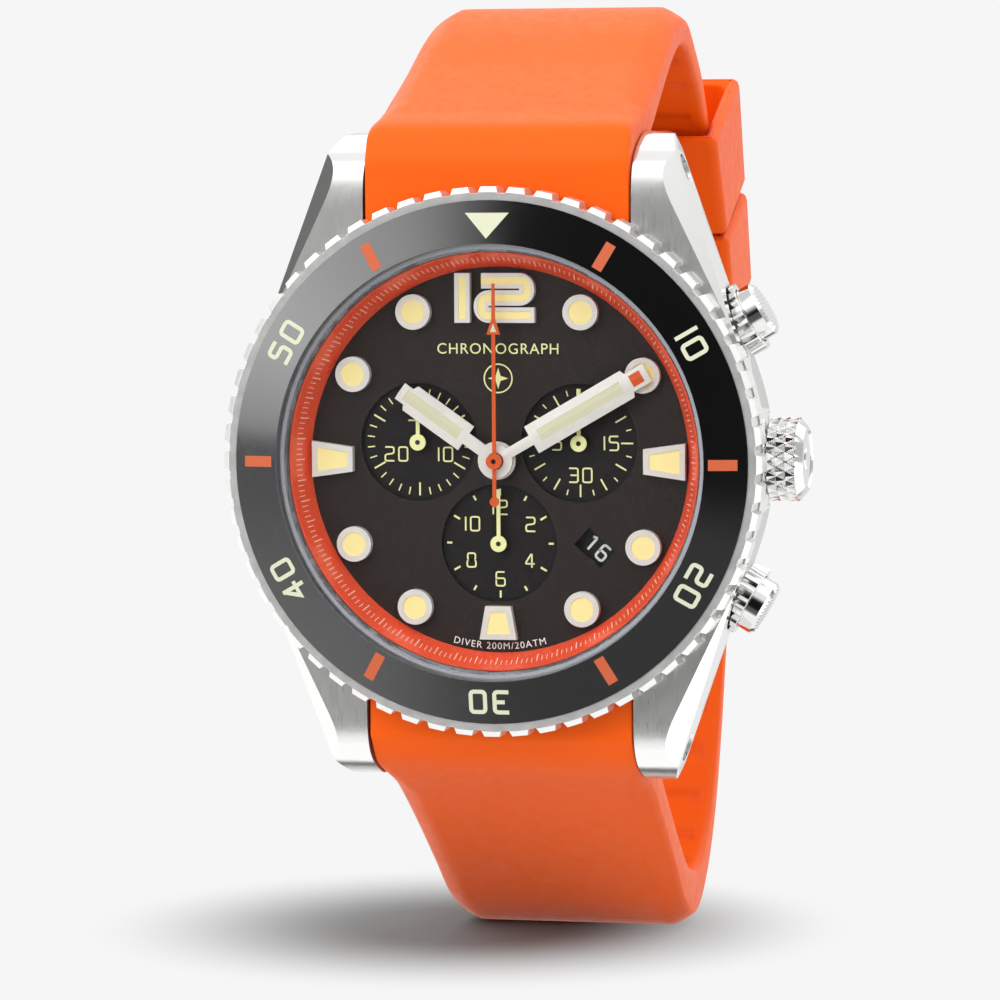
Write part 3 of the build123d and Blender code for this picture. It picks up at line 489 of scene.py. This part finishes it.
def groove_depth(walked, total):
    if not GROOVES_FROM < walked < total - GROOVES_UNTIL:
        return 0.0
    offset = abs((walked - GROOVES_FROM) % GROOVE_PITCH - GROOVE_PITCH / 2)
    return GROOVE_DEPTH * (1 - min(max((offset - GROOVE_WIDTH / 2) / GROOVE_FLANK, 0), 1))


def strap_section(half, thick, slope, groove):
    """Half of a cross-section, from the middle of the outer face round to the middle of the inner face.
    Points are (x, depth below the outer face). A slope of 1 gives the widest bevel along the edge."""
    wide, drop = 1.5 * slope + 0.25, 0.85 * slope + 0.12
    points = [(0, 0), (half * 0.35, 0), (half * 0.7, 0), (half - wide - 0.5, 0), (half - wide, 0.03)]
    points += [(half - wide * 0.62, drop * 0.36), (half - wide * 0.25, drop * 0.78)]
    points += [(half - 0.04, drop + 0.1), (half, drop + 0.35), (half, thick * 0.6)]
    points += [(half, thick - 0.55), (half - 0.12, thick - 0.18), (half - 0.45, thick)]
    points += [(half - 1.1, thick), (half - 1.35, thick - groove), (half * 0.7, thick - groove)]
    points += [(half * 0.35, thick - groove), (0, thick - groove)]
    return points


def narrowed(section, full, half):
    """The section drawn at its full half width, squeezed to a smaller one."""
    return [(x * half / full, depth) for x, depth in section]


WALL_STEP = 0.02         # keeps the sections apart where they are held off the case's round wall


def strap_mesh(name, route, side, rounded_end):
    stations = strap_stations(route, side)
    total = stations[-1][2]
    verts, rings = [], []
    for outer, inner, walked in stations:
        full_half = strap_half_width(outer.y)
        half = full_half
        if rounded_end and total - walked < TIP_LENGTH:
            u = (walked - total + TIP_LENGTH) / TIP_LENGTH
            half = max(full_half * math.sqrt(max(1 - u ** TIP_POWER, 0.0)), TIP_HALF)
        across = inner - outer
        slope = min(max((walked - BEVEL_FROM) / BEVEL_OVER, 0), 1)
        groove = groove_depth(walked, total)
        section = narrowed(strap_section(full_half, across.length, slope, groove), full_half, half)
        full = section + [(-x, d) for x, d in reversed(section[1:-1])]
        ring = []
        for x, depth in full:
            p = outer + across.normalized() * depth
            y = p.x
            wall = math.sqrt(CASE_WALL_R ** 2 - x ** 2)
            if p.y > 0 and side * y < wall:
                y = side * (wall + WALL_STEP * (walked + 1))
            ring.append(len(verts))
            verts.append((x, y, p.y))
        rings.append(ring)
    faces = [list(rings[0]), list(rings[-1])]
    for a, b in zip(rings, rings[1:]):
        n = len(a)
        faces += [[a[i], a[(i + 1) % n], b[(i + 1) % n], b[i]] for i in range(n)]
    return mesh_from(name, verts, faces)


def prism_mesh(outline, start, end):
    """A closed prism between two rings of the same outline, where start and end place an outline point."""
    n = len(outline)
    verts = [start(p) for p in outline] + [end(p) for p in outline]
    faces = [list(range(n)), list(range(n, 2 * n))]
    faces += [[i, (i + 1) % n, n + (i + 1) % n, n + i] for i in range(n)]
    return mesh_from("cutter", verts, faces)


def cut(mesh, cutters):
    """The mesh with every cutter taken away from it."""
    link = bpy.context.scene.collection.objects.link
    body = bpy.data.objects.new("cut_body", mesh)
    link(body)
    tools = [bpy.data.objects.new("cut_tool", cutter) for cutter in cutters]
    for tool in tools:
        link(tool)
        modifier = body.modifiers.new("cut", "BOOLEAN")
        modifier.operation, modifier.solver, modifier.object = "DIFFERENCE", "MANIFOLD", tool
    bpy.context.view_layer.update()
    result = bpy.data.meshes.new_from_object(body.evaluated_get(bpy.context.evaluated_depsgraph_get()))
    for extra in (body, *tools):
        bpy.data.objects.remove(extra)
    result.name = mesh.name
    result.materials.clear()
    return result


def slot_outline(y, half_x, half_y, steps=8):
    """A slot along y with round ends, seen from the front."""
    arc = [math.pi * k / steps for k in range(steps + 1)]
    straight = half_y - half_x
    top = [(half_x * math.cos(a), y + straight + half_x * math.sin(a)) for a in arc]
    return top + [(-half_x * math.cos(a), y - straight - half_x * math.sin(a)) for a in arc]


def make_strap():
    mesh = strap_mesh("strap_upper_rubber", UPPER_STRAP, 1, False)
    angles = [math.radians(15 * k) for k in range(24)]
    circle = [(PIVOT[0] + BAR_HOLE_R * math.cos(a), PIVOT[1] + BAR_HOLE_R * math.sin(a)) for a in angles]
    bore = prism_mesh(circle, lambda p: (-20, *p), lambda p: (20, *p))
    notch = prism_mesh(TONGUE_NOTCH, lambda p: (*p, -50), lambda p: (*p, -36))
    cut_mesh = cut(mesh, [bore, notch])
    piece = add_object("strap_upper_rubber", cut_mesh, "case", rubber, STRAP_SMOOTH)
    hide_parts("strap_upper")
    mesh = strap_mesh("strap_lower_rubber", LOWER_STRAP, -1, True)
    middles = [TAIL_MIDDLE + TAIL_PITCH * (i - TAIL_SLOTS // 2) for i in range(TAIL_SLOTS)]
    holes = [prism_mesh(slot_outline(y, SLOT_HALF_X, SLOT_HALF_Y), lambda p: (*p, -50), lambda p: (*p, -30))
             for y in middles]
    cut_mesh = cut(mesh, holes)
    piece = add_object("strap_lower_rubber", cut_mesh, "case", rubber, STRAP_SMOOTH)
    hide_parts("strap_lower")


# ---------------------------------------------------------------- crown
KNURLS, KNURL_PITCH, KNURL_DEPTH = 26, 0.78, 0.2
KNURL_ROWS, KNURL_START, KNURL_STOP = 40, 0.3, 0.62      # sections along the knurl, and plain ends in mm
CROWN_HOLE_R, CROWN_HOLE_DEPTH = 1.55, 1.5               # for the stem
# The crown's end face from its rim inwards, as (radius, distance below the end).
CROWN_FACE = ((2.45, 0.0), (2.35, 0.12), (1.0, 0.12), (0.9, 0.04), (0.3, 0.04))


def make_crown():
    middle = (CROWN_LOW + CROWN_HIGH) / 2
    radius = (CROWN_HIGH.y - CROWN_LOW.y) / 2
    start, end = CROWN_LOW.x, CROWN_HIGH.x
    sides, verts, rings = KNURLS * 10, [], []

    def ring_at(x, r_of):
        ring = []
        for i in range(sides):
            angle = 2 * math.pi * i / sides
            r = r_of(i / sides)
            ring.append(len(verts))
            verts.append((x, middle.y + r * math.cos(angle), middle.z + r * math.sin(angle)))
        rings.append(ring)

    def wave(value):
        return abs((value % 1) * 2 - 1)

    def diamonds(around, turn):
        return min(wave(around + turn), wave(around - turn))

    ring_at(start, lambda t: CROWN_HOLE_R)
    ring_at(start, lambda t: radius - 0.5)
    knurl_from, knurl_to = start + KNURL_START, end - KNURL_STOP
    for k in range(KNURL_ROWS + 1):
        x = knurl_from + (knurl_to - knurl_from) * k / KNURL_ROWS
        turn = (x - knurl_from) / KNURL_PITCH / 2
        ring_at(x, lambda t: radius - KNURL_DEPTH * (1 - diamonds(t * KNURLS, turn)))
    ring_at(end - 0.55, lambda t: radius - KNURL_DEPTH)
    ring_at(end - 0.12, lambda t: radius - 0.62)
    ring_at(end - 0.02, lambda t: radius - 0.75)
    for r, below in CROWN_FACE:
        ring_at(end - below, lambda t, r=r: r)
    faces = [list(rings[-1])]
    for a, b in zip(rings, rings[1:]):
        faces += [[a[i], a[(i + 1) % sides], b[(i + 1) % sides], b[i]] for i in range(sides)]
    inner = rings[0]
    depth = [len(verts) + i for i in range(sides)]
    verts.extend((start + CROWN_HOLE_DEPTH, verts[i][1], verts[i][2]) for i in inner)
    faces += [[inner[i], inner[(i + 1) % sides], depth[(i + 1) % sides], depth[i]] for i in range(sides)]
    faces.append(depth)
    mesh = mesh_from("crown_knurled", verts, faces)
    piece = add_object("crown_knurled", mesh, "crown", polished, 25)
    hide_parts("crown")


# ---------------------------------------------------------------- dial printing
SUBDIALS = {"minute_counter": (-6.65, 1.4), "small_seconds": (6.65, 1.4), "hour_counter": (0, -6.76)}
INK = 0.02               # half thickness of every print
HUB_TOP = head_box("chronograph_hand")[1].z
DATE_R, DATE_CLOCK, DATE_SHOWN = 10.66, 131.8, 16
DATE_DIGIT, DATE_GAP, DATE_HEIGHT = 0.72, 0.45, 1.25
WORD_Y, WORD_SIZE = 8.95, 1.22
RATING_R, RATING_SIZE = 15.1, 0.78
EMBLEM_AT, EMBLEM_R = (0, 6.6), 1.15


def make_subdial_prints():
    low, high = SUBDIAL_TOP - INK, SUBDIAL_TOP + INK
    style = {"width": 0.72, "height": 1.12, "stroke": 0.13, "gap": 0.42}

    def labels(prints, name, items):
        for text, x, y in items:
            cx, cy = SUBDIALS[name]
            prints.numeral(text, (cx + x, cy + y), **style)

    counter = Prints(low, high)
    for i in range(30):
        major = i % 5 == 0
        r_in, width = (3.3, 0.14) if major else (3.75, 0.1)
        counter.tick(SUBDIALS["minute_counter"], 12 * i, r_in, 4.35, width)
    labels(counter, "minute_counter", (("10", 2.15, -1.0), ("20", -1.95, -1.0), ("30", 0, 2.3)))
    counter.add_to("minute_counter_print", "case", yellow_print)
    seconds = Prints(low, high)
    for i in range(24):
        major = i % 2 == 0
        r_in, width = (3.35, 0.13) if major else (3.9, 0.1)
        seconds.tick(SUBDIALS["small_seconds"], 15 * i, r_in, 4.35, width)
    labels(seconds, "small_seconds", (("60", 0, 2.4), ("15", 2.55, 0), ("30", 0, -2.6), ("45", -2.5, 0)))
    seconds.add_to("small_seconds_print", "case", yellow_print)
    hours = Prints(low, high)
    for i in range(12):
        even = i % 2 == 0
        hours.tick(SUBDIALS["hour_counter"], 30 * i, 3.85 if even else 4.0, 4.42, 0.16)
    labels(hours, "hour_counter", (("12", 0, 2.9), ("2", 2.5, 1.55), ("4", 2.4, -1.4), ("6", 0, -2.9),
                                   ("8", -2.4, -1.4), ("10", -2.3, 1.55)))
    hours.add_to("hour_counter_print", "case", yellow_print)


# Faces of a six-sided block whose first four corners are its underside.
BLOCK = ((0, 1, 2, 3), (4, 5, 6, 7), (0, 1, 5, 4), (1, 2, 6, 5), (2, 3, 7, 6), (3, 0, 4, 7))


def make_flange_track():
    """Quarter-second ticks on the sloping ring, in sets of four with a longer one on the second."""
    low_r, high_r = 15.6, 16.7
    rise = FLANGE_HIGH - FLANGE_LOW
    verts, faces = [], []
    for i in range(240):
        major = i % 4 == 0
        t_out, t_in = 0.74, 0.34 if major else 0.48
        half = 0.05 if major else 0.036
        corners = []
        for lift in (-0.02, 0.02):
            for t, s in ((t_in, -half), (t_in, half), (t_out, half), (t_out, -half)):
                r = low_r + (high_r - low_r) * t - lift
                x, y = spun((s, r), 1.5 * i)
                corners.append((x, y, FLANGE_LOW + rise * t + lift * 0.4))
        start = len(verts)
        verts += corners
        faces += [[start + k for k in face] for face in BLOCK]
    add_object("flange_track", mesh_from("flange_track", verts, faces), "case", tick_print)


def make_date_print():
    """White numerals round the date disc, which run outwards and come level in the window in turn."""
    prints = Prints(DATE_TOP - INK, DATE_TOP + INK)
    for day in range(1, 32):
        clock = DATE_CLOCK - (day - DATE_SHOWN) * 360 / 31
        glyphs = ["hooked 1" if c == "1" else c for c in str(day)]
        step = DATE_DIGIT + DATE_GAP
        for i, glyph in enumerate(glyphs):
            left = DATE_R + (i - (len(glyphs) - 1) / 2) * step - DATE_DIGIT / 2
            for points, closed in DIGITS[glyph]:
                flat = [(-(y - 0.5) * DATE_HEIGHT, left + x * DATE_DIGIT) for x, y in points]
                turned = [spun(p, clock) for p in flat]
                prints.line(rounded(turned, DATE_HEIGHT * 0.2, closed), 0.2, closed)
    prints.add_to("date_numerals", "date_ring", white_print)


def make_hand_details():
    """The pale tip of the chronograph hand's arrow, a black disc in its hub's hole that paints the hole's
    shade, and the small hands' bright pins.
    """
    top = HUB_TOP - 0.3
    arrow = Prints(top - INK, top + INK)
    arrow.outline([(-0.27, 10.4), (0.27, 10.4), (0, 11.1)])
    arrow.add_to("chronograph_arrow_lume", "chronograph", hand_lume)
    # A black disc down in the hub's hole: painted shade of the hole.
    hub = Prints(HUB_TOP - 0.2 - INK, HUB_TOP - 0.2 + INK)
    hub.disc((0, 0), 0.195, 24)
    hub.add_to("chronograph_hole_shade", "chronograph", date_and_hole_black)
    for name, middle in SUBDIALS.items():
        pin_top = head_box(name + "_hand")[1].z
        pin = Prints(pin_top - INK, pin_top + 0.03)
        pin.disc(middle, 0.2, 24)
        pin.add_to(name + "_pin", name, polished)


def letters(name, text, size, spacing):
    """A thin mesh of a line of text, flat in x and y and centred, in metres."""
    curve = bpy.data.curves.new(name, "FONT")
    curve.body, curve.size, curve.align_x, curve.align_y = text, size * MM, "CENTER", "CENTER"
    curve.extrude, curve.space_character = INK * MM, spacing
    holder = bpy.data.objects.new(name + "_curve", curve)
    bpy.context.scene.collection.objects.link(holder)
    bpy.context.view_layer.update()
    mesh = bpy.data.meshes.new_from_object(holder.evaluated_get(bpy.context.evaluated_depsgraph_get()))
    bpy.data.objects.remove(holder)
    mesh.materials.clear()
    return mesh


def make_words():
    """Plain generic words on the dial, the lower ones along its edge."""
    word = letters("dial_word", "CHRONOGRAPH", WORD_SIZE, 1.12)
    word.transform(Matrix.Rotation(math.radians(90), 4, "X"))
    word.transform(Matrix.Translation(to_frame(0, WORD_Y, DIAL_TOP)))
    add_object("dial_word", word, "case", yellow_print)
    text = letters("dial_rating", "DIVER 200M/20ATM", RATING_SIZE, 1.18)
    for vertex in text.vertices:
        x, y, lift = vertex.co / MM
        angle = x / RATING_R
        r = RATING_R - y
        vertex.co = to_frame(r * math.sin(angle), -r * math.cos(angle), DIAL_TOP + lift)
    text.update()
    add_object("dial_rating", text, "case", white_print)


def make_dial_emblem():
    """A plain four-pointed compass star in a ring."""
    prints = Prints(DIAL_TOP, DIAL_TOP + INK)
    circle = [spun((0, EMBLEM_R), 10 * i, EMBLEM_AT) for i in range(36)]
    prints.line(circle, 0.11, True)
    for i in range(4):
        tip, side_a, side_b = (spun(p, 90 * i, EMBLEM_AT) for p in ((0, 0.85), (0.2, 0.2), (-0.2, 0.2)))
        prints.outline([EMBLEM_AT, side_a, tip, side_b])
    prints.add_to("dial_emblem", "case", yellow_print)


# ---------------------------------------------------------------- studio
FLOOR_Z = cad_box[0].z
FLOOR_R = 3.0
# Middle of the soft shadow painted on the floor, and the radii between which it fades out.
SHADOW_MIDDLE, SHADOW_FADE = (-9.0, 17.0), (8.0, 34.0)
PAPER = srgb(246, 246, 246)
# Dark, slightly cyan colour of the floor near the foot of the strap: painted shadow, tinted against the
# orange light the strap throws on it.
PAINTED_SHADOW_COLOUR = (0.172, 0.184, 0.184, 1)


def make_floor():
    """A round pale floor. It gives off its own light away from the foot of the strap; near the foot it is
    dark, which paints a soft shadow there.
    """
    angles = [math.radians(5 * k) for k in range(72)]
    rim = [(FLOOR_R * math.cos(a), FLOOR_R * math.sin(a), FLOOR_Z) for a in angles]
    mesh = bpy.data.meshes.new("floor")
    mesh.from_pydata(rim, [], [list(range(72))])
    floor = bpy.data.objects.new("floor", mesh)
    bpy.context.scene.collection.objects.link(floor)
    material = new_material("floor_paper", PAINTED_SHADOW_COLOUR, 0.9)
    tree = material.node_tree
    coords = tree.nodes.new("ShaderNodeTexCoord")
    away = tree.nodes.new("ShaderNodeVectorMath")
    away.operation = "DISTANCE"
    away.inputs[1].default_value = (SHADOW_MIDDLE[0] * MM, SHADOW_MIDDLE[1] * MM, FLOOR_Z)
    tree.links.new(coords.outputs["Object"], away.inputs[0])
    # Fades from the painted shadow at the foot to the glowing floor further out.
    lit = ranged(material, away.outputs["Value"], 0, 1, *(r * MM for r in SHADOW_FADE))
    lit.node.interpolation_type = "SMOOTHSTEP"
    glow = tree.nodes.new("ShaderNodeEmission")
    glow.inputs["Color"].default_value = PAPER
    mix = tree.nodes.new("ShaderNodeMixShader")
    shader = tree.nodes["Principled BSDF"]
    shader.inputs["Specular IOR Level"].default_value = 0.0
    tree.links.new(lit, mix.inputs["Fac"])
    tree.links.new(shader.outputs["BSDF"], mix.inputs[1])
    tree.links.new(glow.outputs["Emission"], mix.inputs[2])
    tree.links.new(mix.outputs["Shader"], tree.nodes["Material Output"].inputs["Surface"])
    mesh.materials.append(material)
    floor.visible_glossy = floor.visible_shadow = False


def make_backdrop():
    """A pale dome round the watch. It is only looked at: light and reflections come from the world."""
    mesh = bpy.data.meshes.new("backdrop")
    bm = bmesh.new()
    bmesh.ops.create_uvsphere(bm, u_segments=64, v_segments=32, radius=FLOOR_R)
    bm.to_mesh(mesh)
    bm.free()
    backdrop = bpy.data.objects.new("backdrop", mesh)
    backdrop.location.z = FLOOR_Z
    bpy.context.scene.collection.objects.link(backdrop)
    material = new_material("backdrop_paper", (0, 0, 0, 1), 1.0, Emission_Color=PAPER, Emission_Strength=1.0)
    material.node_tree.nodes["Principled BSDF"].inputs["Specular IOR Level"].default_value = 0.0
    mesh.materials.append(material)
    backdrop.visible_diffuse = backdrop.visible_glossy = backdrop.visible_transmission = False
    backdrop.visible_shadow = False


# Each soft light of the studio: azimuth and elevation of its middle as seen from the watch in degrees
# (0, 0 is straight in front, positive azimuth to the right), half width, half height, softness of its edge
# and radiance.
SOFTBOXES = [(0, 88, 50, 50, 14, 1.0), (-50, 38, 26, 28, 12, 0.82), (-52, -12, 22, 16, 14, 0.12),
             (84, 10, 22, 50, 14, 0.55), (0, -80, 80, 40, 12, 1.15), (180, 12, 46, 42, 12, 0.8)]
ROOM = 0.12
# A dark patch round the camera, mirrored in the dial: azimuth, elevation, half size, softness, and how much
# of the room's light it takes away.
FLAG, FLAG_SOFT, FLAG_DARK = (2, 7, 12), 7, 0.93
# Lamps that only add soft daylight, and are not mirrored: azimuth, elevation, size in degrees, strength.
SUNS = [(-12, 38, 50, 1.3), (-5, -4, 60, 0.6)]


def direction(azimuth, elevation):
    """Unit vector from the watch towards a place in the studio, in degrees."""
    az, el = math.radians(azimuth), math.radians(elevation)
    return Vector((math.sin(az) * math.cos(el), -math.cos(az) * math.cos(el), math.sin(el)))


def make_suns():
    for i, (azimuth, elevation, size, strength) in enumerate(SUNS):
        data = bpy.data.lights.new(f"sun_{i}", "SUN")
        data.angle, data.energy = math.radians(size), strength
        lamp = bpy.data.objects.new(f"sun_{i}", data)
        lamp.rotation_euler = direction(azimuth, elevation).to_track_quat("Z", "Y").to_euler()
        lamp.visible_glossy = False
        bpy.context.scene.collection.objects.link(lamp)


def make_world():
    """Soft lights in a grey room, all far away."""
    world = bpy.data.worlds.new("studio")
    bpy.context.scene.world = world
    world.use_nodes = True
    tree = world.node_tree

    def math_node(operation, a, b):
        node = tree.nodes.new("ShaderNodeMath")
        node.operation = operation
        for socket, value in zip(node.inputs, (a, b)):
            if isinstance(value, (int, float)):
                socket.default_value = value
            else:
                tree.links.new(value, socket)
        return node.outputs["Value"]

    coords = tree.nodes.new("ShaderNodeTexCoord").outputs["Generated"]

    def along(axis):
        node = tree.nodes.new("ShaderNodeVectorMath")
        node.operation = "DOT_PRODUCT"
        tree.links.new(coords, node.inputs[0])
        node.inputs[1].default_value = axis
        return node.outputs["Value"]

    def window(value, half, soft):
        """1 within half degrees of the middle, falling to 0 over soft degrees."""
        inside, outside = math.sin(math.radians(half)), math.sin(math.radians(min(half + soft, 90)))
        node = tree.nodes.new("ShaderNodeMapRange")
        node.interpolation_type = "SMOOTHSTEP"
        tree.links.new(math_node("ABSOLUTE", value, 0), node.inputs["Value"])
        node.inputs["From Min"].default_value, node.inputs["From Max"].default_value = inside, outside
        node.inputs["To Min"].default_value, node.inputs["To Max"].default_value = 1, 0
        return node.outputs["Result"]

    def softbox(azimuth, elevation, half_wide, half_high, soft):
        middle = direction(azimuth, elevation)
        right = direction(azimuth + 90, 0)
        up = direction(azimuth, elevation + 90)
        across, upwards = window(along(right), half_wide, soft), window(along(up), half_high, soft)
        shape = math_node("MULTIPLY", across, upwards)
        return math_node("MULTIPLY", shape, math_node("GREATER_THAN", along(middle), 0))

    azimuth, elevation, half = FLAG
    total = math_node("MULTIPLY_ADD", softbox(azimuth, elevation, half, half, FLAG_SOFT), -FLAG_DARK * ROOM)
    total.node.inputs[2].default_value = ROOM
    for *shape, radiance in SOFTBOXES:
        total = math_node("ADD", total, math_node("MULTIPLY", softbox(*shape), radiance))
    light = tree.nodes["Background"]
    tree.links.new(total, light.inputs["Strength"])
    light.inputs["Color"].default_value = (1, 1, 1, 1)


# The camera's azimuth, elevation and roll in degrees, its distance in metres, and where it aims: right of and
# above the middle of the dial as it sees them, in mm.
CAMERA_AZIMUTH, CAMERA_ELEVATION, CAMERA_ROLL, CAMERA_DISTANCE = 13, 4, -0.4, 0.4
DIAL_MIDDLE = (0, 0, 13.3)
AIM_RIGHT, AIM_UP = 0.86, -2.96


def make_camera():
    back = direction(CAMERA_AZIMUTH, CAMERA_ELEVATION)
    middle = to_frame(*DIAL_MIDDLE)
    camera = bpy.data.objects.new("camera", bpy.data.cameras.new("camera"))
    bpy.context.scene.collection.objects.link(camera)
    camera.data.lens, camera.data.sensor_width = 180, 36
    camera.data.clip_start, camera.data.clip_end = 0.01, 20
    camera.location = middle + back * CAMERA_DISTANCE
    right = direction(CAMERA_AZIMUTH + 90, 0)
    up = right.cross(-back)
    aim = middle + right * AIM_RIGHT * MM + up * AIM_UP * MM
    roll = Matrix.Rotation(math.radians(CAMERA_ROLL), 3, "Z")
    turn = (aim - camera.location).to_track_quat("-Z", "Y").to_matrix() @ roll
    camera.rotation_euler = turn.to_euler()
    bpy.context.scene.camera = camera


make_camera()
dress_cad_nodes()
make_strap()
make_crown()
make_subdial_prints()
make_flange_track()
make_date_print()
make_hand_details()
make_words()
make_dial_emblem()
make_floor()
make_backdrop()
make_world()
make_suns()
bpy.context.scene.view_settings.view_transform = "Standard"
